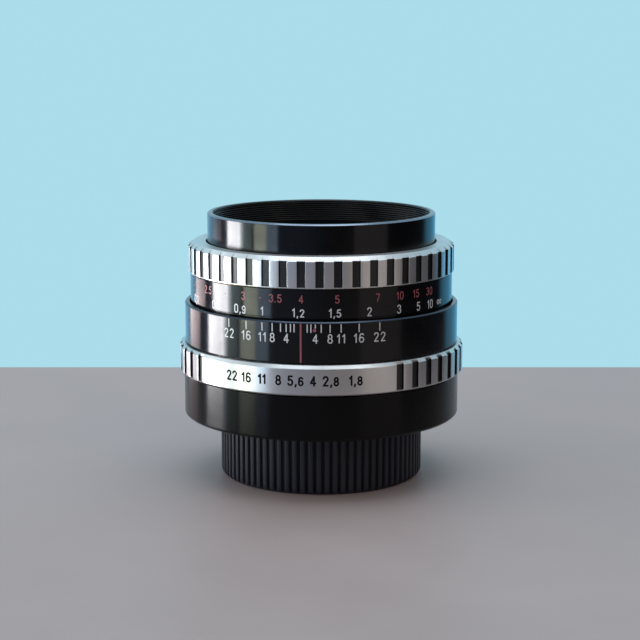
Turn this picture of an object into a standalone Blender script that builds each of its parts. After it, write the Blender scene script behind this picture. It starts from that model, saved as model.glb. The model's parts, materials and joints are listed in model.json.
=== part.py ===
"""Vintage 50 mm f/1.8 prime lens with a 42 mm screw mount, standing on its screw-in rear cap.

The optical axis is +Z, the front of the lens faces up, and the origin is the centre of the
cap's bottom face. The index line of the depth scale faces -Y. Lengths here are millimetres
and turn into metres through MM. The lens is built focused at 1.2 m, with the aperture ring
between 5.6 and 4.
"""
import math

import bmesh
import bpy
from mathutils import Matrix

MM = 0.001

# ---- Driving dimensions (millimetres and degrees) ----
FINE = 48                       # facets round the large outer rings
COARSE = 32                     # facets round the inner rings
GLASS_FACETS = 24
FACET_TURN = 1.7                # keeps the facets' corners clear of the drilled holes

CAP_RADIUS = 22.8
CAP_HEIGHT = 13.4
CAP_BORE = 21.3
CAP_FLOOR = 1.6
FLANGE_Z = 13.95                # register face of the screw mount
THREAD_RADIUS = 20.9            # 42 mm mount thread
THREAD_BOTTOM = 9.4
MOUNT_BORE = 19.2
MOUNT_FLANGE_RADIUS = 26.5
MOUNT_FLANGE_TOP = 15.7
BARREL_RADIUS = 30.95           # black base barrel
BARREL_SHOULDER = 23.75
FLOOR_BOTTOM = 16.0
FLOOR_TOP = 17.8
FLOOR_HOLE = 15.9
JOURNAL_RADIUS = 29.2           # neck of the base barrel that the aperture ring turns on
JOURNAL_BORE = 27.6
JOURNAL_TOP = 30.4
APERTURE_RADIUS = 31.9
APERTURE_BORE = 29.55
APERTURE_BOTTOM = 24.05
APERTURE_TOP = 30.5
APERTURE_GROOVES = 38
APERTURE_PITCH = 7.378          # between grooves
APERTURE_FIRST = 39.7           # first groove, counted from the index line
DEPTH_RADIUS = 30.65            # fixed depth-of-field ring
DEPTH_BORE = 29.7
DEPTH_BOTTOM = 30.8
DEPTH_TOP = 39.6
SLEEVE_RADIUS = 29.38           # distance scale
SLEEVE_SKIRT = 28.9
SLEEVE_BORE = 28.3
SLEEVE_BOTTOM = 37.2
SLEEVE_STEP = 40.1
SLEEVE_TOP = 46.15
GRIP_RADIUS = 29.74
GRIP_BOTTOM = 46.43
GRIP_SHOULDER = 52.1
GRIP_TOP = 53.0
GRIP_FACE_RADIUS = 28.5
GRIP_GROOVES = 48
GRIP_FIRST = 7.4                # first groove, counted from the index line
GROOVE_WIDTH = 1.65
FRONT_RADIUS = 25.5             # outside of the 49 mm filter barrel
FRONT_BORE = 24.1
RIM_TOP = 59.4
WEB_BOTTOM = 48.8
WEB_TOP = 50.2
TUBE_RADIUS = 23.5              # fixed guide tube
TUBE_BORE = 22.3
TUBE_TOP = 46.2
HELICOID_BORE = 23.85
NUT_BORE = 25.85
NUT_RADIUS = 28.0
NUT_TOP = 50.4
CLAMP_BOTTOM = 34.1
CLAMP_TOP = 35.4
KEY_Z = 36.5
KEY_HEIGHT = 3.0
KEY_WIDTH = 2.6
CELL_RADIUS = 18.7
REAR_CELL_RADIUS = 15.3
IRIS_RADIUS = 21.9
IRIS_FLOOR = 25.8
IRIS_FLOOR_TOP = 26.6
IRIS_HOLE = 10.9
IRIS_TOP = 29.6
BLADES = 6
BLADE_PIVOT = 18.2
BLADE_INNER = 10.8
BLADE_OUTER = 17.6
BLADE_ARC = 120.0
BLADE_TURN = 13.24              # turn of each blade from fully open, as built
BLADE_THICKNESS = 0.12
BLADE_STEP = 0.25               # height from one blade to the next
FIRST_BLADE_Z = 26.95
DRIVE_ANGLE = 70.0              # angles from +X
DRIVE_Z = 27.5
DRIVE_CIRCLE = 19.8
DRIVE_RADIUS = 0.65
APERTURE_OPENING = 21.2         # turn from the built setting to 1.8, clockwise from the front
APERTURE_CLOSING = 28.4         # turn from the built setting to 22
STOP_STEP = 6.68                # turn from one stop to the next
PIN_ANGLE = 90.0
PIN_CIRCLE = 17.6
PIN_RADIUS = 0.7
CLICK_ANGLE = 150.0
CLICK_CIRCLE = 28.5
CLICK_RADIUS = 0.85
GRUB_ANGLES = (8.0, 188.0)
GRUB_Z = 31.5
MOUNT_SCREW_ANGLES = (30.0, 150.0, 270.0)
MOUNT_SCREW_CIRCLE = 24.4
STOP_POST_ANGLE = 200.0
STOP_POST_SWEEP = 19.0
STOP_TAB_SWEEP = 18.0
STOP_TAB_ANGLE = STOP_POST_ANGLE + 68.8 + 0.5 * (STOP_POST_SWEEP + STOP_TAB_SWEEP) + 0.8

BLACK_ANODISED = (0.012, 0.012, 0.014, 1.0)
BLACK_PLASTIC = (0.018, 0.018, 0.020, 1.0)
MATT_BLACK = (0.006, 0.006, 0.006, 1.0)
SATIN_ALUMINIUM = (0.80, 0.80, 0.79, 1.0)
YELLOW_BRASS = (0.72, 0.54, 0.26, 1.0)
BRIGHT_STEEL = (0.55, 0.55, 0.56, 1.0)
COATED_GLASS = (0.62, 0.55, 0.72, 1.0)


# ---- Scene, collections and materials ----
for old in list(bpy.data.objects):
    bpy.data.objects.remove(old, do_unlink=True)

lens = bpy.data.collections.new("prime_camera_lens")
cutters = bpy.data.collections.new("cutters")
bpy.context.scene.collection.children.link(lens)
bpy.context.scene.collection.children.link(cutters)


def material(name, colour, roughness, metallic):
    mat = bpy.data.materials.new(name)
    mat.use_nodes = True
    mat.diffuse_color = colour
    shader = mat.node_tree.nodes["Principled BSDF"]
    shader.inputs["Base Color"].default_value = colour
    shader.inputs["Roughness"].default_value = roughness
    shader.inputs["Metallic"].default_value = metallic
    return mat


anodised = material("black_anodised", BLACK_ANODISED, 0.30, 0.4)
plastic = material("black_plastic", BLACK_PLASTIC, 0.42, 0.0)
matt = material("matt_black", MATT_BLACK, 0.80, 0.0)
aluminium = material("satin_aluminium", SATIN_ALUMINIUM, 0.28, 1.0)
brass = material("brass", YELLOW_BRASS, 0.30, 1.0)
steel = material("steel", BRIGHT_STEEL, 0.30, 1.0)
glass = material("coated_glass", COATED_GLASS, 0.03, 0.0)


# ---- Placing helpers ----
def polar(radius, degrees, z):
    """A point in metres at a radius and an angle from +X."""
    angle = math.radians(degrees)
    return (radius * math.cos(angle) * MM, radius * math.sin(angle) * MM, z * MM)


def frame_empty(name, parent=None):
    """An empty on the lens axis that carries the pieces of one moving body."""
    empty = bpy.data.objects.new(name, None)
    lens.objects.link(empty)
    empty.parent = parent
    return empty


def place(name, mesh, mat, parent):
    """A new object in the lens, or among the cutters when it has no material."""
    obj = bpy.data.objects.new(name, mesh)
    obj.parent = parent
    if mat is None:
        cutters.objects.link(obj)
        obj.hide_render = True
        obj.display_type = "WIRE"
    else:
        lens.objects.link(obj)
        mesh.materials.append(mat)
    return obj


def mesh_from(name, bm):
    mesh = bpy.data.meshes.new(name)
    bm.to_mesh(mesh)
    bm.free()
    return mesh


def smooth(obj):
    """Smooth shading that keeps hard edges."""
    obj.data.shade_smooth()
    obj.data.set_sharp_from_angle(angle=math.radians(30))
    return obj


# ---- Shape helpers ----
def turned(name, points, mat, facets=COARSE, closed=True, parent=None):
    """Turn a profile of (radius, z) points round Z, listed down its outer side."""
    mesh = bpy.data.meshes.new(name)
    edges = [(i, i + 1) for i in range(len(points) - 1)]
    if closed:
        edges.append((len(points) - 1, 0))
    mesh.from_pydata([(r * MM, 0.0, z * MM) for r, z in points], edges, [])
    obj = place(name, mesh, mat, parent)
    obj.rotation_euler.z = math.radians(FACET_TURN)
    screw = obj.modifiers.new("Turn", "SCREW")
    screw.steps = facets
    screw.render_steps = facets
    screw.use_smooth_shade = True
    screw.use_merge_vertices = True
    screw.merge_threshold = 0.00001
    return obj


def ring(name, outer, inner, bottom, top, mat, facets=COARSE, parent=None):
    """A plain ring of rectangular section."""
    points = [(outer, top), (outer, bottom), (inner, bottom), (inner, top)]
    return turned(name, points, mat, facets, True, parent)


def cylinder(name, radius, length, centre, mat, parent=None, facing=None, sides=14):
    """A cylinder along Z, or along the radius that points to the angle facing."""
    bm = bmesh.new()
    bmesh.ops.create_cone(bm, cap_ends=True, segments=sides, radius1=radius * MM,
                          radius2=radius * MM, depth=length * MM)
    obj = place(name, mesh_from(name, bm), mat, parent)
    obj.location = centre
    if facing is not None:
        obj.rotation_euler = (0.0, math.radians(90), math.radians(facing))
    return smooth(obj)


def box(name, size, centre, angle, mat, parent=None):
    """A box whose X side points along the radius at an angle."""
    bm = bmesh.new()
    bmesh.ops.create_cube(bm, size=1.0)
    bmesh.ops.scale(bm, vec=[side * MM for side in size], verts=bm.verts)
    obj = place(name, mesh_from(name, bm), mat, parent)
    obj.location = centre
    obj.rotation_euler = (0.0, 0.0, math.radians(angle))
    return obj


def sector(name, outer, inner, bottom, top, start, sweep, mat, parent=None):
    """Part of a ring: an upright face spun round Z from the angle start."""
    bm = bmesh.new()
    bmesh.ops.create_grid(bm, x_segments=1, y_segments=1, size=0.5)
    bmesh.ops.rotate(bm, matrix=Matrix.Rotation(math.radians(90), 3, "X"), verts=bm.verts)
    bmesh.ops.scale(bm, vec=((outer - inner) * MM, 1.0, (top - bottom) * MM), verts=bm.verts)
    middle = ((outer + inner) / 2 * MM, 0.0, (top + bottom) / 2 * MM)
    bmesh.ops.translate(bm, vec=middle, verts=bm.verts)
    bmesh.ops.spin(bm, geom=bm.verts[:] + bm.edges[:] + bm.faces[:], axis=(0, 0, 1),
                   angle=math.radians(sweep), steps=max(2, round(sweep / 8)))
    bmesh.ops.recalc_face_normals(bm, faces=bm.faces)
    obj = place(name, mesh_from(name, bm), mat, parent)
    obj.rotation_euler = (0.0, 0.0, math.radians(start))
    return obj


def bars(name, count, pitch, first, radius, width, bottom, top, parent):
    """A cutter of upright bars, for grooves whose floor is at a radius."""
    depth = 2.0
    bm = bmesh.new()
    for index in range(count):
        verts = bmesh.ops.create_cube(bm, size=1.0)["verts"]
        turn = Matrix.Rotation(math.radians(first + index * pitch), 3, "Z")
        middle = ((radius + depth / 2) * MM, 0.0, (top + bottom) / 2 * MM)
        bmesh.ops.scale(bm, vec=(depth * MM, width * MM, (top - bottom) * MM), verts=verts)
        bmesh.ops.translate(bm, vec=middle, verts=verts)
        bmesh.ops.rotate(bm, matrix=turn, verts=verts)
    return place(name, mesh_from(name, bm), None, parent)


def combine(obj, other, operation="DIFFERENCE"):
    """Cut an object with a tool, or join the tool to it."""
    if other.name in lens.objects:
        lens.objects.unlink(other)
        cutters.objects.link(other)
        other.hide_render = True
        other.display_type = "WIRE"
    step = obj.modifiers.new(operation.title(), "BOOLEAN")
    step.operation = operation
    step.object = other


def drill(obj, radius, length, centre, facing=None, sides=12):
    """Cut a round hole."""
    tool = cylinder(obj.name + "_drill", radius, length, centre, None, obj.parent, facing,
                    sides)
    combine(obj, tool)


def dome(curvature, vertex, edge, steps=4):
    """Points of a spherical lens surface, from the axis out to its edge.

    A positive radius of curvature bulges up and a negative one bulges down.
    """
    points = []
    for step in range(steps + 1):
        r = edge * step / steps
        sag = abs(curvature) - math.sqrt(curvature ** 2 - r ** 2)
        points.append((r, vertex - math.copysign(sag, curvature)))
    return points


def element(name, front, back):
    """A glass element between two surfaces, each listed from the axis out."""
    return turned(name, front + back[::-1], glass, GLASS_FACETS, False, barrel_slide)


# ---- Moving bodies ----
housing_frame = frame_empty("housing_frame")
focus_axis = frame_empty("focus_axis", housing_frame)
barrel_slide = frame_empty("barrel_slide", housing_frame)
aperture_axis = frame_empty("aperture_axis", housing_frame)


# ---- Rear cap ----
def make_rear_cap():
    """A plastic cup that screws over the mount thread."""
    points = [
        (0.0, CAP_FLOOR),
        (CAP_BORE, CAP_FLOOR),
        (CAP_BORE, CAP_HEIGHT),
        (CAP_RADIUS, CAP_HEIGHT),
        (CAP_RADIUS, 0.8),
        (CAP_RADIUS - 0.8, 0.0),
        (0.0, 0.0),
    ]
    turned("rear_cap", points, plastic, FINE, False)


# ---- Fixed housing ----
def make_mount():
    """Thread ring, its screws and the plate that closes it."""
    points = [
        (MOUNT_FLANGE_RADIUS, MOUNT_FLANGE_TOP),
        (MOUNT_FLANGE_RADIUS, FLANGE_Z),
        (THREAD_RADIUS, FLANGE_Z),
        (THREAD_RADIUS, THREAD_BOTTOM + 0.4),
        (THREAD_RADIUS - 0.4, THREAD_BOTTOM),
        (MOUNT_BORE, THREAD_BOTTOM),
        (MOUNT_BORE, MOUNT_FLANGE_TOP),
    ]
    mount = turned("mount_thread_ring", points, anodised, COARSE, True, housing_frame)
    plate = ring("rear_light_shield", MOUNT_BORE - 0.3, FLOOR_HOLE, 9.9, 10.9, matt, COARSE,
                 housing_frame)
    drill(plate, PIN_RADIUS + 0.25, 3.0, polar(PIN_CIRCLE, PIN_ANGLE, 10.4))
    for number, angle in enumerate(MOUNT_SCREW_ANGLES, 1):
        head_z = FLANGE_Z + 0.6
        name = "mount_screw_" + str(number)
        screw = cylinder(name, 1.3, 0.8, polar(MOUNT_SCREW_CIRCLE, angle, head_z), steel,
                         housing_frame)
        shank = cylinder(name + "_shank", 0.65, 2.8,
                         polar(MOUNT_SCREW_CIRCLE, angle, head_z + 1.2), None, housing_frame)
        combine(screw, shank, "UNION")
        drill(mount, 1.6, 2.0, polar(MOUNT_SCREW_CIRCLE, angle, FLANGE_Z + 0.3))
        drill(mount, 0.95, 4.0, polar(MOUNT_SCREW_CIRCLE, angle, FLANGE_Z + 1.0))


def make_base_barrel():
    """Black rear housing with its floor and the neck for the aperture ring."""
    points = [
        (JOURNAL_RADIUS, JOURNAL_TOP),
        (JOURNAL_RADIUS, BARREL_SHOULDER),
        (BARREL_RADIUS, BARREL_SHOULDER),
        (BARREL_RADIUS, FLANGE_Z + 0.6),
        (BARREL_RADIUS - 0.6, FLANGE_Z),
        (MOUNT_FLANGE_RADIUS + 0.3, FLANGE_Z),
        (MOUNT_FLANGE_RADIUS + 0.3, FLOOR_BOTTOM),
        (FLOOR_HOLE, FLOOR_BOTTOM),
        (FLOOR_HOLE, FLOOR_TOP),
        (JOURNAL_BORE, FLOOR_TOP),
        (JOURNAL_BORE, JOURNAL_TOP),
    ]
    barrel = turned("base_barrel", points, anodised, FINE, True, housing_frame)
    slot_margin = 3.0
    slot = sector("base_barrel_slot", JOURNAL_RADIUS + 1.0, JOURNAL_BORE - 1.0, DRIVE_Z - 1.0,
                  DRIVE_Z + 1.0, DRIVE_ANGLE - APERTURE_OPENING - slot_margin,
                  APERTURE_OPENING + APERTURE_CLOSING + 2 * slot_margin, None, housing_frame)
    combine(barrel, slot)
    drill(barrel, CLICK_RADIUS + 0.25, 4.0, polar(CLICK_CIRCLE, CLICK_ANGLE, DRIVE_Z),
          CLICK_ANGLE)
    drill(barrel, PIN_RADIUS + 0.25, 4.0, polar(PIN_CIRCLE, PIN_ANGLE, 16.9))
    for angle in MOUNT_SCREW_ANGLES:
        drill(barrel, 0.95, 3.0, polar(MOUNT_SCREW_CIRCLE, angle, 16.9))


def make_guide_tube():
    """Fixed inner tube with two straight slots that stop the front barrel turning."""
    points = [
        (TUBE_RADIUS, TUBE_TOP),
        (TUBE_RADIUS, 32.3),
        (JOURNAL_RADIUS, 32.3),
        (JOURNAL_RADIUS, 30.7),
        (TUBE_BORE, 30.7),
        (TUBE_BORE, TUBE_TOP),
    ]
    tube = turned("guide_tube", points, aluminium, COARSE, True, housing_frame)
    slot_bottom = 32.5
    slot_height = TUBE_TOP + 1.0 - slot_bottom
    for side in (0.0, 180.0):
        centre = polar((TUBE_RADIUS + TUBE_BORE) / 2, side, slot_bottom + slot_height / 2)
        slot = box("guide_slot", (3.0, KEY_WIDTH + 0.6, slot_height), centre, side, None,
                   housing_frame)
        combine(tube, slot)
    for angle in GRUB_ANGLES:
        drill(tube, 0.6, 2.4, polar(28.6, angle, GRUB_Z), angle)


def make_depth_ring():
    """Depth-of-field ring, its grub screws, the helicoid clamp and the focus stop."""
    points = [
        (DEPTH_RADIUS - 0.4, DEPTH_TOP),
        (DEPTH_RADIUS, DEPTH_TOP - 0.4),
        (DEPTH_RADIUS, DEPTH_BOTTOM),
        (DEPTH_BORE, DEPTH_BOTTOM),
        (DEPTH_BORE, DEPTH_TOP),
    ]
    depth = turned("depth_of_field_ring", points, anodised, FINE, True, housing_frame)
    for number, angle in enumerate(GRUB_ANGLES, 1):
        drill(depth, 0.6, 3.0, polar(30.2, angle, GRUB_Z), angle)
        cylinder("depth_ring_grub_screw_" + str(number), 0.4, 2.6, polar(29.1, angle, GRUB_Z),
                 steel, housing_frame, angle, 10)
    ring("helicoid_clamp_ring", DEPTH_BORE - 0.35, SLEEVE_BORE, CLAMP_BOTTOM, CLAMP_TOP, brass,
         COARSE, housing_frame)
    sector("focus_stop_post", 29.25, 28.4, CLAMP_TOP + 0.3, CLAMP_TOP + 1.2,
           STOP_POST_ANGLE - STOP_POST_SWEEP / 2, STOP_POST_SWEEP, steel, housing_frame)


def make_stop_down_pin():
    """Auto-aperture pin with its collar, tip and return spring."""
    pin_axis = frame_empty("pin_axis", housing_frame)
    pin_axis.location = polar(PIN_CIRCLE, PIN_ANGLE, 0.0)
    points = [
        (0.0, 16.8),
        (PIN_RADIUS, 16.8),
        (PIN_RADIUS, 11.8),
        (1.2, 11.8),
        (1.2, 11.2),
        (PIN_RADIUS, 11.2),
        (PIN_RADIUS, 6.8),
        (PIN_RADIUS - 0.35, 6.4),
        (0.0, 6.4),
    ]
    turned("stop_down_pin", points, brass, 12, False, pin_axis)
    turns = 4
    per_turn = 9
    wire = 0.11
    bottom = 12.2
    top = 15.6
    coil = bpy.data.curves.new("stop_down_spring", "CURVE")
    coil.dimensions = "3D"
    coil.bevel_depth = wire * MM
    coil.bevel_resolution = 0
    coil.use_fill_caps = True
    spline = coil.splines.new("POLY")
    count = int(turns * per_turn) + 1
    spline.points.add(count - 1)
    for index, point in enumerate(spline.points):
        x, y, z = polar(1.5, 360 * index / per_turn, bottom + (top - bottom) * index / count)
        point.co = (x, y, z, 1.0)
    spring = bpy.data.objects.new("stop_down_spring", coil)
    spring.parent = housing_frame
    spring.location = polar(PIN_CIRCLE, PIN_ANGLE, 0.0)
    coil.materials.append(steel)
    lens.objects.link(spring)


def make_click():
    """Ball and leaf spring that click the aperture ring."""
    bm = bmesh.new()
    bmesh.ops.create_uvsphere(bm, u_segments=10, v_segments=8, radius=CLICK_RADIUS * MM)
    ball = place("click_ball", mesh_from("click_ball", bm), steel, housing_frame)
    ball.location = polar(CLICK_CIRCLE, CLICK_ANGLE, DRIVE_Z)
    smooth(ball)
    sector("click_spring", 27.2, 26.9, DRIVE_Z - 0.9, DRIVE_Z + 0.9, CLICK_ANGLE - 12.0, 24.0,
           steel, housing_frame)


# ---- Focus ring and helicoid ----
def make_focus_ring():
    """Striped grip, distance scale and the brass nut that drives the barrel."""
    points = [
        (GRIP_FACE_RADIUS, GRIP_TOP),
        (GRIP_RADIUS, GRIP_SHOULDER),
        (GRIP_RADIUS, GRIP_BOTTOM),
        (SLEEVE_BORE, GRIP_BOTTOM),
        (SLEEVE_BORE, NUT_TOP + 0.3),
        (NUT_BORE, NUT_TOP + 0.3),
        (NUT_BORE, GRIP_TOP),
    ]
    grip = turned("focus_grip_ring", points, aluminium, GRIP_GROOVES, True, focus_axis)
    pitch = 360 / GRIP_GROOVES
    grip.rotation_euler.z = math.radians(-90 + GRIP_FIRST - pitch / 2)
    grooves = bars("focus_grip_grooves", GRIP_GROOVES, pitch, pitch / 2, GRIP_RADIUS - 0.35,
                   GROOVE_WIDTH, GRIP_BOTTOM + 0.45, GRIP_TOP + 0.5, grip)
    combine(grip, grooves)
    points = [
        (SLEEVE_RADIUS, SLEEVE_TOP),
        (SLEEVE_RADIUS, SLEEVE_STEP),
        (SLEEVE_SKIRT, SLEEVE_STEP),
        (SLEEVE_SKIRT, SLEEVE_BOTTOM),
        (SLEEVE_BORE, SLEEVE_BOTTOM),
        (SLEEVE_BORE, SLEEVE_TOP),
    ]
    turned("distance_scale_sleeve", points, anodised, FINE, True, focus_axis)
    sector("focus_stop_tab", SLEEVE_SKIRT + 0.1, SLEEVE_BORE + 0.1, CLAMP_TOP + 0.4,
           SLEEVE_BOTTOM - 0.3, STOP_TAB_ANGLE - STOP_TAB_SWEEP / 2, STOP_TAB_SWEEP, steel,
           focus_axis)


def make_helicoid_nut():
    """Brass nut that turns in place and drives the front barrel in and out."""
    points = [
        (NUT_RADIUS, NUT_TOP),
        (NUT_RADIUS, 33.8),
        (JOURNAL_RADIUS, 33.8),
        (JOURNAL_RADIUS, 32.6),
        (NUT_BORE, 32.6),
        (NUT_BORE, NUT_TOP),
    ]
    nut = turned("focus_helicoid_nut", points, brass, COARSE, True, focus_axis)
    grip = bpy.data.objects["focus_grip_ring"]
    for number, angle in enumerate(GRUB_ANGLES, 1):
        drill(nut, 0.9, 2.0, polar(27.8, angle, 49.3), angle)
        drill(grip, 0.9, 3.0, polar(29.2, angle, 49.3), angle)
        cylinder("focus_grip_grub_screw_" + str(number), 0.6, 2.2, polar(28.2, angle, 49.3),
                 steel, focus_axis, angle, 10)


# ---- Front barrel and optics ----
def make_front_barrel():
    """Filter barrel, the helicoid below it, and its guide keys."""
    points = [
        (FRONT_RADIUS - 0.4, RIM_TOP),
        (FRONT_RADIUS, RIM_TOP - 0.4),
        (FRONT_RADIUS, 44.0),
        (24.7, 44.0),
        (24.7, 46.9),
        (24.0, 46.9),
        (24.0, WEB_BOTTOM),
        (CELL_RADIUS + 0.3, WEB_BOTTOM),
        (CELL_RADIUS + 0.3, WEB_TOP),
        (FRONT_BORE, WEB_TOP),
        (FRONT_BORE, RIM_TOP - 0.3),
        (FRONT_BORE + 0.3, RIM_TOP),
    ]
    turned("front_barrel", points, anodised, FINE, True, barrel_slide)
    points = [
        (24.4, 46.6),
        (24.4, 43.7),
        (FRONT_RADIUS, 43.7),
        (FRONT_RADIUS, 35.0),
        (HELICOID_BORE, 35.0),
        (HELICOID_BORE, 46.6),
    ]
    helicoid = turned("inner_helicoid", points, aluminium, COARSE, True, barrel_slide)
    for number, side in enumerate((0.0, 180.0), 1):
        key = box("guide_key_" + str(number), (1.15, KEY_WIDTH, KEY_HEIGHT),
                  polar(22.98, side, KEY_Z), side, brass, barrel_slide)
        drill(key, 0.8, 3.0, polar(23.0, side, KEY_Z), side)
        drill(helicoid, 0.8, 2.4, polar(24.0, side, KEY_Z), side)
        cylinder("guide_key_screw_" + str(number), 0.5, 2.4, polar(23.7, side, KEY_Z), steel,
                 barrel_slide, side, 10)


def make_front_cell():
    """Tube for the front group, its retaining rings and the black trim ring."""
    points = [
        (23.6, 51.7),
        (23.6, WEB_TOP + 0.3),
        (CELL_RADIUS, WEB_TOP + 0.3),
        (CELL_RADIUS, 29.9),
        (12.2, 29.9),
        (12.2, 30.3),
        (13.7, 30.3),
        (13.7, 36.0),
        (14.5, 36.0),
        (14.5, 41.3),
        (17.1, 41.3),
        (17.1, 51.7),
    ]
    turned("front_lens_cell", points, matt, COARSE, True, barrel_slide)
    ring("front_element_retainer", 16.8, 15.6, 44.3, 46.2, matt, COARSE, barrel_slide)
    ring("second_element_retainer", 14.2, 13.2, 38.6, 40.0, matt, 32, barrel_slide)
    points = [
        (23.75, 53.2),
        (23.75, 52.0),
        (16.7, 52.0),
        (18.0, 53.2),
    ]
    turned("front_trim_ring", points, matt, COARSE, True, barrel_slide)


def make_rear_cell():
    """Tube for the rear group and its retaining ring."""
    points = [
        (17.0, 25.5),
        (17.0, 23.0),
        (REAR_CELL_RADIUS, 23.0),
        (REAR_CELL_RADIUS, 9.0),
        (13.5, 9.0),
        (13.5, 13.6),
        (11.9, 13.6),
        (11.9, 17.2),
        (12.7, 17.2),
        (12.7, 25.5),
    ]
    turned("rear_lens_cell", points, matt, COARSE, True, barrel_slide)
    ring("rear_element_retainer", 13.2, 11.7, 9.2, 10.8, matt, 32, barrel_slide)


def make_elements():
    """Six glass elements in four groups round the iris."""
    element("glass_1_front_meniscus", dome(37.0, 47.4, 16.8), dome(100.0, 43.0, 16.8, 2))
    element("glass_2_front_positive", dome(22.0, 42.5, 14.2), [(0.0, 36.35), (14.2, 36.35)])
    concave = dome(14.0, 34.8, 10.0)
    element("glass_3_front_negative", [(0.0, 36.2), (13.4, 36.2)],
            concave + [(13.4, concave[-1][1])])
    concave = dome(-14.5, 21.0, 10.0)
    element("glass_4_rear_negative", concave + [(12.4, concave[-1][1])],
            [(0.0, 19.6), (12.4, 19.6)])
    element("glass_5_rear_positive", [(0.0, 19.45), (12.4, 19.45)], dome(-22.0, 14.2, 12.4))
    element("glass_6_rear_biconvex", dome(90.0, 13.5, 13.2, 2), dome(-35.0, 9.3, 13.2))


# ---- Aperture ----
def make_aperture_ring():
    """Striped aperture ring with click notches, and the parts that turn with it."""
    points = [
        (APERTURE_RADIUS - 0.7, APERTURE_TOP),
        (APERTURE_RADIUS, APERTURE_TOP - 0.7),
        (APERTURE_RADIUS, APERTURE_BOTTOM + 0.3),
        (APERTURE_RADIUS - 0.3, APERTURE_BOTTOM),
        (APERTURE_BORE, APERTURE_BOTTOM),
        (APERTURE_BORE, APERTURE_TOP),
    ]
    aperture = turned("aperture_ring", points, aluminium, FINE, True, aperture_axis)
    grooves = bars("aperture_grooves", APERTURE_GROOVES, APERTURE_PITCH, APERTURE_FIRST - 90,
                   APERTURE_RADIUS - 0.5, GROOVE_WIDTH, APERTURE_BOTTOM + 0.45,
                   APERTURE_TOP + 0.5, aperture_axis)
    combine(aperture, grooves)
    stops = [APERTURE_CLOSING - STOP_STEP * index for index in range(7)]
    for turn in stops + [-APERTURE_OPENING]:
        drill(aperture, 0.45, 3.0, polar(APERTURE_BORE, CLICK_ANGLE - turn, DRIVE_Z), None, 8)
    drill(aperture, 0.95, 4.0, polar(30.9, DRIVE_ANGLE, DRIVE_Z), DRIVE_ANGLE)
    cylinder("aperture_drive_screw", 0.65, 4.8, polar(28.9, DRIVE_ANGLE, DRIVE_Z), steel,
             aperture_axis, DRIVE_ANGLE, 10)


def make_aperture_drive():
    """Ring inside the base barrel, with the rod that turns the iris."""
    drive = ring("aperture_drive_ring", 26.9, 18.0, 20.6, 22.6, brass, COARSE, aperture_axis)
    ear = box("drive_ring_ear", (1.5, 5.0, 7.0), polar(26.0, DRIVE_ANGLE, 25.3), DRIVE_ANGLE,
              None, aperture_axis)
    combine(drive, ear, "UNION")
    drill(drive, 0.95, 4.0, polar(26.0, DRIVE_ANGLE, DRIVE_Z), DRIVE_ANGLE)
    drill(drive, 0.95, 4.0, polar(DRIVE_CIRCLE, DRIVE_ANGLE, 21.6))
    cylinder("aperture_drive_rod", DRIVE_RADIUS, 17.2, polar(DRIVE_CIRCLE, DRIVE_ANGLE, 29.6),
             steel, aperture_axis)


def make_iris():
    """Iris housing, cam ring and blades."""
    points = [
        (IRIS_RADIUS, IRIS_TOP),
        (IRIS_RADIUS, IRIS_FLOOR),
        (IRIS_HOLE, IRIS_FLOOR),
        (IRIS_HOLE, IRIS_FLOOR_TOP),
        (IRIS_RADIUS - 1.0, IRIS_FLOOR_TOP),
        (IRIS_RADIUS - 1.0, IRIS_TOP),
    ]
    housing = turned("iris_housing", points, anodised, COARSE, True, barrel_slide)
    slot = sector("iris_housing_slot", 20.6, 19.0, IRIS_FLOOR - 1.0, IRIS_FLOOR_TOP + 0.5,
                  DRIVE_ANGLE - APERTURE_OPENING - 4.0,
                  APERTURE_OPENING + APERTURE_CLOSING + 8.0, None, barrel_slide)
    combine(housing, slot)
    cam_axis = frame_empty("cam_axis", barrel_slide)
    cam = ring("iris_cam_ring", 18.6, 11.4, 28.65, 29.35, brass, COARSE, cam_axis)
    fork = box("cam_ring_fork", (2.6, 3.6, 0.7), polar(19.3, DRIVE_ANGLE, 29.0), DRIVE_ANGLE,
               None, cam_axis)
    combine(cam, fork, "UNION")
    drill(cam, DRIVE_RADIUS + 0.2, 2.0, polar(DRIVE_CIRCLE, DRIVE_ANGLE, 29.0))
    mouth = box("cam_ring_mouth", (2.0, 1.7, 2.0), polar(DRIVE_CIRCLE + 1.0, DRIVE_ANGLE, 29.0),
                DRIVE_ANGLE, None, cam_axis)
    combine(cam, mouth)
    for index in range(BLADES):
        make_blade(housing, index)


def make_blade(housing, index):
    """One thin curved blade, with its pivot pin on the object's origin."""
    angle = index * 360 / BLADES
    z = FIRST_BLADE_Z + index * BLADE_STEP
    name = "iris_blade_" + str(index + 1)
    blade = sector(name, BLADE_OUTER, BLADE_INNER, -BLADE_THICKNESS / 2, BLADE_THICKNESS / 2,
                   0.0, BLADE_ARC, steel, barrel_slide)
    blade.data.transform(Matrix.Translation((-BLADE_PIVOT * MM, 0.0, 0.0)))
    ear = cylinder(name + "_ear", 0.72, BLADE_THICKNESS, (0.0, 0.0, 0.0), None, blade, None, 12)
    combine(blade, ear, "UNION")
    floor = IRIS_FLOOR + 0.2 - z
    pin = cylinder(name + "_pin", 0.35, -floor, (0.0, 0.0, floor / 2 * MM), None, blade, None, 8)
    combine(blade, pin, "UNION")
    blade.location = polar(BLADE_PIVOT, angle, z)
    blade.rotation_euler.z = math.radians(angle + BLADE_TURN)
    drill(housing, 0.6, 2.0, polar(BLADE_PIVOT, angle, IRIS_FLOOR_TOP), None, 8)


make_rear_cap()
make_mount()
make_base_barrel()
make_guide_tube()
make_depth_ring()
make_stop_down_pin()
make_click()
make_focus_ring()
make_helicoid_nut()
make_front_barrel()
make_front_cell()
make_rear_cell()
make_elements()
make_aperture_ring()
make_aperture_drive()
make_iris()
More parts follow.
